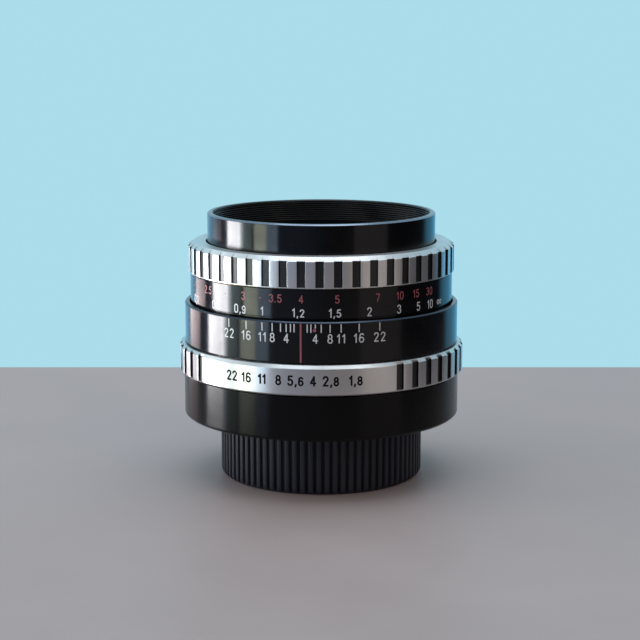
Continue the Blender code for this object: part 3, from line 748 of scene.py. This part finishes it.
# ---- Housing ----
def make_base_barrel():
    _, radius, bottom, top = measured("base_barrel")
    shoulder = 23.75
    journal = 29.2
    outline = [
        (journal, top, 0.15),
        (27.6, top, 0.15),
        (27.6, 17.8, 0.2),
        (15.9, 17.8, 0.1),
        (15.9, 16.0, 0.1),
        (26.8, 16.0, 0.1),
        (26.8, bottom, 0.1),
        (radius - 0.5, bottom, 0.15),
        (radius, bottom + 0.5, 0.2),
        (radius, shoulder, 0.18),
        (journal, shoulder, 0.05),
    ]
    barrel = turned("base_barrel_shell", outline, satin_black, "housing",
                    ["base_barrel"])
    drill(barrel, PIN_CIRCLE, PIN_ANGLE, 16.9, PIN_HOLE, False)


def make_mount():
    _, radius, bottom, top = measured("mount_thread_ring")
    flange = 13.95
    thread = 20.9
    outline = [
        (radius, flange, 0.12),
        (radius, top, 0.1),
        (19.2, top, 0.1),
        (19.2, bottom, 0.15),
        (thread - 0.35, bottom, 0.1),
        (thread, bottom + 0.35, 0.05),
        (thread, flange, 0.0),
    ]
    threaded("mount_thread", outline, thread, -0.5, MOUNT_PITCH, bottom + 0.4, flange - 0.4,
             aluminium, "housing", ["mount_thread_ring"])
    inner, radius, bottom, top = measured("rear_light_shield")
    outline = [(radius, bottom, 0.08), (radius, top, 0.08), (inner, top, 0.08),
               (inner, bottom, 0.08)]
    plate = turned_inside("rear_light_shield_plate", outline, "housing", "rear_light_shield")
    drill(plate, PIN_CIRCLE, PIN_ANGLE, (bottom + top) / 2, PIN_HOLE, False)


def slotted_screw(name, node, radius, body):
    """A cheese-head screw with a slot, facing down."""
    low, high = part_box(node)
    x = (low.x + high.x) / 2 / MM
    y = (low.y + high.y) / 2 / MM
    bottom = low.z / MM
    count = 40
    points = []
    for r, z in ((radius - 0.1, bottom), (radius, bottom + 0.1), (radius, bottom + 0.75)):
        points += [(x + r * cos(t), y + r * sin(t), z) for t in circle(count)]
    rings = [range(ring * count, (ring + 1) * count) for ring in range(3)]
    faces = band(*rings[:2]) + band(*rings[1:]) + [tuple(rings[2]), tuple(rings[0])]
    piece = mesh_piece(name, points, faces, [steel])
    cut_away(piece, block(4 * radius, 0.32, 0.6), (x, y, bottom),
             (0.0, 0.0, atan2(y, x) + 0.6 * x))
    return settle(piece, body, [node])


def grub_screw(name, node, radius, angle, z, face, body):
    """A headless screw seen end-on in its hole: rounded rim and a slot across it.

    Without a node it is the slotted face on the end of a CAD screw, which still shows.
    """
    count = 36
    turn = radians(angle)
    points = []
    for size, out in ((radius, face - 2.0), (radius, face - 0.07), (radius - 0.07, face)):
        points += [(out * cos(turn) - size * cos(t) * sin(turn),
                    out * sin(turn) + size * cos(t) * cos(turn),
                    z + size * sin(t)) for t in circle(count)]
    rings = [range(ring * count, (ring + 1) * count) for ring in range(3)]
    faces = band(*rings[:2]) + band(*rings[1:]) + [tuple(rings[0]), tuple(rings[2])]
    piece = mesh_piece(name, points, faces, [steel])
    cut_away(piece, block(0.7, 4 * radius, 0.13),
             (face * cos(turn), face * sin(turn), z), (radians(35), 0.0, turn))
    return settle(piece, body, [node] if node else [])


def fit_grub_screws(ring, radius, z, hole, name, node, size, face, body):
    """A hole with a grub screw in it at each of a ring's two screw places."""
    for number, angle in enumerate(SCREW_ANGLES, 1):
        drill(ring, radius, angle, z, hole)
        grub_screw(name + str(number), node + str(number), size, angle, z, face, body)


def make_depth_ring():
    inner, radius, bottom, top = measured("depth_of_field_ring")
    outline = [
        (radius, bottom, 0.08),
        (radius, top - 0.3, 0.03),
        (radius - 0.3, top, 0.03),
        (inner, top, 0.1),
        (inner, bottom, 0.1),
    ]
    ring = turned("depth_scale_ring", outline, anodised, "housing",
                  ["depth_of_field_ring"], extra=[edge_painted_reflection],
                  # the thin top chamfer takes the dimmer painted blue reflection
                  zones=[(radius - 0.28, radius - 0.02, top - 0.28, top - 0.02)])
    fit_grub_screws(ring, radius, DEPTH_SCREW_HEIGHT, 0.6, "depth_ring_screw_",
                    "depth_ring_grub_screw_", 0.4, 30.38, "housing")
    inlay("index_line", [[(0.0, bottom + 0.25), (0.0, top - 0.5)]], 0.36, radius, red_fill,
          "housing")
    ticks = []
    for stop in (1.8, 2.8, 4, 5.6, 8, 11, 16, 22):
        for angle in (-DEPTH_SPREAD * stop, DEPTH_SPREAD * stop):
            beside_dot = stop == 4 and angle > 0
            foot = top - (1.2 if beside_dot else 2.15)
            ticks.append([(angle, top - 0.55), (angle, foot)])
    inlay("depth_ticks", ticks, 0.23, radius, white_fill, "housing")
    numbers = []
    for text in ("4", "8", "11", "16", "22"):
        for side in (-1, 1):
            numbers += written(text, side * DEPTH_SPREAD * float(text), top - 4.42, 1.78,
                               radius, gap=0.40)
    inlay("depth_numbers", numbers, 0.245, radius, white_fill, "housing")
    dot = [(INFRARED_MARK - 0.01, top - 1.75), (INFRARED_MARK + 0.01, top - 1.75)]
    inlay("infrared_dot", [dot], 0.72, radius, red_fill, "housing", 0.02)


# ---- Focus ring ----
def make_focus_ring():
    inner, radius, bottom, top = measured("distance_scale_sleeve")
    step = 40.1
    outline = [
        (radius, step, 0.08),
        (radius, top, 0.08),
        (inner, top, 0.1),
        (inner, bottom, 0.1),
        (28.9, bottom, 0.1),
        (28.9, step, 0.0),
    ]
    turned("distance_sleeve", outline, anodised, "focus_ring",
           ["distance_scale_sleeve"])
    metres = ("10", "5", "3", "2", "1,5", "1,2", "1", "0,9", "0,8", "0,7", "0,6", "0,5",
              "0,4", "0,35")
    numbers = written("i", INFINITY_MARK, 40.4, 2.1, radius)
    for text in metres:
        angle = distance_angle(float(text.replace(",", ".")))
        numbers += written(text, angle, 40.45, 1.7, radius, 0.88)
    inlay("metre_numbers", numbers, 0.255, radius, white_fill, "focus_ring")
    numbers = []
    for text in ("30", "15", "10", "7", "5", "4", "3.5", "3", "2.5", "2", "1.5"):
        angle = distance_angle(float(text) * FOOT)
        if text == "7":
            angle += 1.1  # this one is engraved a little off its distance
        numbers += written(text, angle, 43.4, 1.55, radius)
    inlay("feet_numbers", numbers, 0.225, radius, red_fill, "focus_ring")
    dots = []
    for feet in (3.25, 2.75, 2.25, 1.75, 1.25):
        angle = distance_angle(feet * FOOT)
        dots.append([(angle - 0.01, 44.1), (angle + 0.01, 44.1)])
    inlay("feet_dots", dots, 0.30, radius, red_fill, "focus_ring")

    _, _, bottom, top = measured("focus_grip_ring")
    radius = 29.74
    outline = [
        (radius, bottom, 0.03),
        (radius, top - 0.9, 0.05),
        (28.5, top, 0.06),
        (25.85, top, 0.12),
        (25.85, 50.7, 0.05),
        (28.3, 50.7, 0.05),
        (28.3, bottom, 0.05),
    ]
    grip = grooved("striped_grip", outline, radius - 0.35, bottom + 0.20, GRIP_GROOVES,
                   360 / GRIP_GROOVES, GRIP_FIRST, "focus_ring", "focus_grip_ring",
                   grip_aluminium)
    fit_grub_screws(grip, radius, GRIP_SCREW_HEIGHT, 0.9, "grip_screw_",
                    "focus_grip_grub_screw_", 0.6, 29.28, "focus_ring")


# ---- Aperture ring ----
def make_aperture_ring():
    _, _, bottom, top = measured("aperture_ring")
    radius = 31.9
    outline = [
        (29.55, bottom, 0.08),
        (radius - 0.3, bottom, 0.05),
        (radius, bottom + 0.3, 0.05),
        (radius, top - 0.7, 0.05),
        (radius - 0.7, top, 0.06),
        (29.55, top, 0.08),
    ]
    ring = grooved("striped_aperture_ring", outline, radius - 0.5, bottom + 0.42,
                   APERTURE_GROOVES, APERTURE_PITCH, APERTURE_FIRST, "aperture_ring",
                   "aperture_ring", aluminium)
    drill(ring, radius, DRIVE_ANGLE, DRIVE_HEIGHT, 0.95)
    grub_screw("aperture_drive_screw_face", None, 0.72, DRIVE_ANGLE, DRIVE_HEIGHT, 31.34,
               "aperture_ring")
    stops = [("22", -28.4), ("16", -21.7), ("11", -15.0), ("8", -8.35), ("5,6", -1.67),
             ("4", 5.0), ("2,8", 11.7), ("1,8", 21.2)]
    numbers = []
    for text, angle in stops:
        numbers += written(text, angle, 26.38, 1.86, radius, 0.88)
    inlay("aperture_numbers", numbers, 0.41, radius, black_fill, "aperture_ring")


# ---- Front barrel and optics ----
def make_front_barrel():
    _, radius, bottom, top = measured("front_barrel")
    bore = 24.1
    outline = [
        (radius, bottom, 0.1),
        (radius, top - 0.3, 0.03),
        (radius - 0.3, top, 0.03),
        (bore + 0.3, top, 0.04),
        (bore, top - 0.3, 0.04),
        (bore, 50.2, 0.1),
        (19.0, 50.2, 0.1),
        (19.0, 48.8, 0.1),
        (24.0, 48.8, 0.1),
        (24.0, 46.9, 0.05),
        (24.7, 46.9, 0.05),
        (24.7, bottom, 0.1),
    ]
    threaded("filter_barrel", outline, bore, 0.18, FILTER_PITCH, 54.6, top - 0.35, anodised,
             "barrel", ["front_barrel"], 320, [rim_painted_reflection, bore_black],
             # the rim chamfer takes the painted blue reflection
             [(radius - 0.28, radius - 0.02, top - 0.28, top - 0.02),
              (bore - 0.1, bore + 0.45, 50.3, top - 0.05)])


def make_front_cell():
    outline = [
        (23.6, 50.5, 0.1),
        (23.6, 51.7, 0.1),
        (17.1, 51.7, 0.1),
        *[(17.1 + deep, 51.1 - 0.5 * step - down, 0.02) for step in range(8)
          for deep, down in ((0.0, 0.0), (0.22, 0.1), (0.22, 0.2), (0.0, 0.3))],
        (17.1, 41.3, 0.05),
        (14.5, 41.3, 0.1),
        (14.5, 36.0, 0.05),
        (13.7, 36.0, 0.1),
        (13.7, 30.3, 0.05),
        (12.2, 30.3, 0.1),
        (12.2, 29.9, 0.05),
        (18.7, 29.9, 0.1),
        (18.7, 50.5, 0.05),
    ]
    turned_inside("front_cell", outline, "barrel", "front_lens_cell")
    for node in ("front_element_retainer", "second_element_retainer", "rear_element_retainer"):
        name = node.replace("retainer", "ring")
        inner, outer, bottom, top = measured(node)
        outline = [(outer, bottom, 0.06), (outer, top, 0.06), (inner + 0.25, top, 0.06),
                   (inner, top - 0.5, 0.06), (inner, bottom + 0.5, 0.06),
                   (inner + 0.25, bottom, 0.06)]
        turned_inside(name, outline, "barrel", node)
    outline = [(23.75, 52.0, 0.08), (23.75, 53.2, 0.12)]
    for step in range(11):
        r = 23.2 - step * 0.42
        outline += [(r, 53.2, 0.03), (r - 0.08, 53.02, 0.02), (r - 0.18, 53.02, 0.02),
                    (r - 0.26, 53.2, 0.03)]
    outline += [(18.0, 53.2, 0.1), (16.7, 52.0, 0.06)]
    turned_inside("front_trim", outline, "barrel", "front_trim_ring")
    outline = [
        (17.0, 23.0, 0.05),
        (17.0, 25.5, 0.1),
        (12.7, 25.5, 0.1),
        (12.7, 17.2, 0.05),
        (11.9, 17.2, 0.1),
        (11.9, 13.6, 0.1),
        (13.5, 13.6, 0.05),
        (13.5, 9.0, 0.12),
        (15.3, 9.0, 0.15),
        (15.3, 23.0, 0.05),
    ]
    turned_inside("rear_cell", outline, "barrel", "rear_lens_cell")


def dome(curvature, vertex, edge, steps=20):
    """Points of a spherical surface from the axis out; a negative curvature bulges down."""
    points = []
    for step in range(steps + 1):
        r = edge * step / steps
        sag = abs(curvature) - sqrt(curvature ** 2 - r ** 2)
        points.append((r, vertex - copysign(sag, curvature)))
    return points


def make_glass():
    hollow_front = dome(14.0, 34.8, 10.0)
    hollow_rear = dome(-14.5, 21.0, 10.0)
    elements = [
        ("glass_1_front_meniscus", dome(100.0, 43.0, 16.8), dome(37.0, 47.4, 16.8),
         violet_glass),
        ("glass_2_front_positive", [(0.0, 36.35), (14.2, 36.35)], dome(22.0, 42.5, 14.2),
         amber_glass),
        ("glass_3_front_negative", hollow_front + [(13.4, hollow_front[-1][1])],
         [(0.0, 36.2), (13.4, 36.2)], violet_glass),
        ("glass_4_rear_negative", [(0.0, 19.6), (12.4, 19.6)],
         hollow_rear + [(12.4, hollow_rear[-1][1])], violet_glass),
        ("glass_5_rear_positive", dome(-22.0, 14.2, 12.4), [(0.0, 19.45), (12.4, 19.45)],
         amber_glass),
        ("glass_6_rear_biconvex", dome(-35.0, 9.3, 13.2), dome(90.0, 13.5, 13.2),
         violet_glass),
    ]
    for node, below, above, material in elements:
        name = node.split("_", 2)[2] + "_element_" + node.split("_")[1]
        turned(name, below + above[::-1], material, "barrel", [node], False,
               INSIDE_SEGMENTS)


def make_blades():
    """Thin curved blades, each with a pivot boss that reaches down into the housing."""
    arc_steps = 48
    side = 2 * (arc_steps + 1)  # corners round one face of a blade
    for number in range(1, 7):
        node = "iris_blade_" + str(number)
        angle = radians(60.0 * (number - 1))
        z = 26.95 + 0.25 * (number - 1)
        pivot = Vector((cos(angle), sin(angle))) * BLADE_PIVOTS
        swing = Matrix.Rotation(angle + radians(BLADE_TURN), 2)
        outer, inner = BLADE_EDGES
        rim = arc(-BLADE_PIVOTS, 0.0, outer, outer, 0, 120, arc_steps)
        rim += arc(-BLADE_PIVOTS, 0.0, inner, inner, 120, 0, arc_steps)
        rim = [swing @ Vector(p) + pivot for p in rim]
        points = [(p.x, p.y, level) for level in (z + BLADE_HALF, z - BLADE_HALF) for p in rim]
        faces = [(start + index, start + index + 1,
                  start + side - 2 - index, start + side - 1 - index)
                 for start in (0, side) for index in range(arc_steps)]
        faces += band(range(side), range(side, 2 * side))
        points += [(pivot.x + 0.34 * cos(t), pivot.y + 0.34 * sin(t), level)
                   for level in (z + BLADE_HALF, 26.0) for t in circle(16)]
        boss = [range(start, start + 16) for start in (2 * side, 2 * side + 16)]
        faces += band(*boss) + [tuple(boss[0]), tuple(boss[1])]
        piece = mesh_piece("blade_" + str(number), points, faces, [blade_steel], weighted=False)
        settle(piece, node, [node])


# ---- Inner parts that keep their CAD shape ----
def finish_cad_nodes():
    finishes = {
        "black_anodised": anodised,
        "black_plastic": plastic,
        "matt_black": matt_black,
        "satin_aluminium": aluminium,
        "brass": brass,
        "steel": steel,
        "coated_glass": violet_glass,
    }
    slots = {part["node"]: part["material_slot"] for part in frame["record"]["subparts"]}
    for node, piece in frame["nodes"].items():
        for slot in piece.material_slots:
            slot.material = finishes[slots[node]]


# ---- Camera, floor and light ----
def make_camera():
    camera = placed("camera", bpy.data.cameras.new("camera"))
    camera.location = (CAMERA_DISTANCE * sin(CAMERA_SIDE) * MM,
                       -CAMERA_DISTANCE * cos(CAMERA_SIDE) * MM, CAMERA_HEIGHT * MM)
    camera.rotation_euler = (radians(90) - CAMERA_PITCH, 0.0, CAMERA_SIDE)
    camera.data.lens = CAMERA_LENS
    camera.data.sensor_width = 36.0
    camera.data.clip_start = 0.01
    camera.data.shift_x = CAMERA_SHIFT
    bpy.context.scene.camera = camera


def make_table():
    material, tree, shader, place = blank("pale_table_top")
    grain = clouds(tree, place, 30.0, 4.0)
    colour = blend(tree, grain, (0.36, 0.29, 0.275, 1.0), (0.43, 0.36, 0.345, 1.0))
    feed(tree, shader, {"Base Color": colour, "Specular IOR Level": 0.26,
                        "Roughness": span(tree, grain, 0.3, 0.7, 0.46, 0.54)})
    mesh = bpy.data.meshes.new("table_top")
    bm = block(2 * TABLE_SIDE, TABLE_BACK + TABLE_FRONT, TABLE_DEPTH)
    bmesh.ops.bevel(bm, geom=bm.edges[:], offset=2.0 * MM, segments=3, affect="EDGES")
    bmesh.ops.translate(bm, vec=(0.0, (TABLE_BACK - TABLE_FRONT) / 2 * MM,
                                 -TABLE_DEPTH / 2 * MM), verts=bm.verts)
    bm.to_mesh(mesh)
    bm.free()
    mesh.materials.append(material)
    floor = placed("table_top", mesh)
    floor.rotation_euler.z = CAMERA_SIDE


# The soft panels round the lens: azimuth from the camera and elevation, distance in metres,
# the width and height they fill as seen from the lens in degrees, radiance and colour.
PANELS = {
    "window": (-96.5, -8, 0.7, 19, 23, 23.0, (1.0, 0.99, 1.03)),
    "window_edge": (-86.5, -8, 0.7, 6, 16, 8.0, (0.92, 0.98, 1.06)),
    "window_haze": (-79.5, -6, 0.7, 15, 8.5, 3.9, (0.76, 1.0, 0.92)),
    "window_leaves": (-62, -6, 0.7, 14, 8.5, 12.0, (0.93, 1.0, 0.80)),
    "window_end": (-49, -6, 0.7, 12, 9.5, 5.0, (0.72, 0.95, 1.2)),
    "window_frame": (-126, -8, 0.25, 20, 4.5, 6.6, (1.0, 0.72, 0.67)),
    "window_top": (-80, 32, 0.9, 80, 34, 0.9, (1.0, 1.0, 1.0)),
    "room_lamp": (50, 42, 0.9, 24, 20, 1.4, (1.0, 0.84, 0.74)),
    "room_wall": (50, 4, 0.9, 36, 28, 0.5, (1.0, 0.88, 0.84)),
    "overhead": (180, 87, 0.9, 46, 46, 1.75, (0.94, 0.98, 1.04)),
}


def make_lights():
    target = Vector((0.0, 0.0, 0.035))
    for name, settings in PANELS.items():
        azimuth, elevation, distance, width, height, radiance, colour = settings
        light = bpy.data.lights.new(name, "AREA")
        light.shape = "RECTANGLE"
        light.size = 2 * distance * tan(radians(width / 2))
        light.size_y = 2 * distance * tan(radians(height / 2))
        light.energy = radiance * pi * light.size * light.size_y
        light.color = colour
        turn = radians(azimuth - 90) + CAMERA_SIDE
        rise = radians(elevation)
        way = Vector((cos(turn) * cos(rise), sin(turn) * cos(rise), sin(rise)))
        lamp = placed(name, light)
        lamp.location = target + way * distance
        lamp.rotation_euler = (-way).to_track_quat("-Z", "Y").to_euler()
        lamp.visible_camera = False


def make_room():
    """The dim room that the lens reflects, and the plain backdrop that the camera sees."""
    world = bpy.data.worlds.new("studio")
    bpy.context.scene.world = world
    world.use_nodes = True
    tree = world.node_tree
    place = add(tree, "TexCoord", {}).outputs["Generated"]

    def along(x, y, z):
        return add(tree, "VectorMath", {0: place, 1: (x, y, z)},
                   operation="DOT_PRODUCT").outputs["Value"]

    towards = along(sin(CAMERA_SIDE), -cos(CAMERA_SIDE), 0.0)
    rightward = along(cos(CAMERA_SIDE), sin(CAMERA_SIDE), 0.0)
    height = along(0.0, 0.0, 1.0)
    warm = span(tree, rightward, -0.3, 0.6)
    above = blend(tree, warm, (0.34, 0.37, 0.43, 1.0), (0.29, 0.22, 0.19, 1.0))
    left_front = span(tree, rightward, -0.25, 0.12, 1.0, 0.0)
    below = blend(tree, left_front, (0.022, 0.026, 0.036, 1.0), (0.11, 0.17, 0.30, 1.0))
    room = blend(tree, span(tree, height, 0.08, 0.50), below, above)
    ceiling = calc(tree, "SUBTRACT", height, calc(tree, "MULTIPLY", towards, 0.75))
    room = blend(tree, span(tree, ceiling, 0.58, 0.85), room, (0.56, 0.76, 0.88, 1.0))
    wall = blend(tree, span(tree, rightward, -0.5, 0.5), (0.42, 0.86, 1.20, 1.0),
                 (0.16, 0.60, 0.95, 1.0))
    wall = blend(tree, span(tree, height, -0.04, 0.10), wall, (0.46, 0.74, 0.88, 1.0))
    room = blend(tree, span(tree, towards, -0.66, -0.54, 1.0, 0.0), room, wall)
    seen = add(tree, "LightPath", {}).outputs["Is Camera Ray"]
    feed(tree, tree.nodes["Background"],
         {"Color": blend(tree, seen, room, (0.41, 0.72, 0.83, 1.0)), "Strength": 1.0})
    bpy.context.scene.view_settings.view_transform = "Standard"


finish_cad_nodes()
make_rear_cap()
make_base_barrel()
make_mount()
for number in (1, 2, 3):
    slotted_screw("mount_screw_head_" + str(number), "mount_screw_" + str(number), 1.3,
                  "housing")
make_depth_ring()
make_focus_ring()
make_aperture_ring()
make_front_barrel()
make_front_cell()
make_glass()
make_blades()
make_camera()
make_table()
make_lights()
make_room()
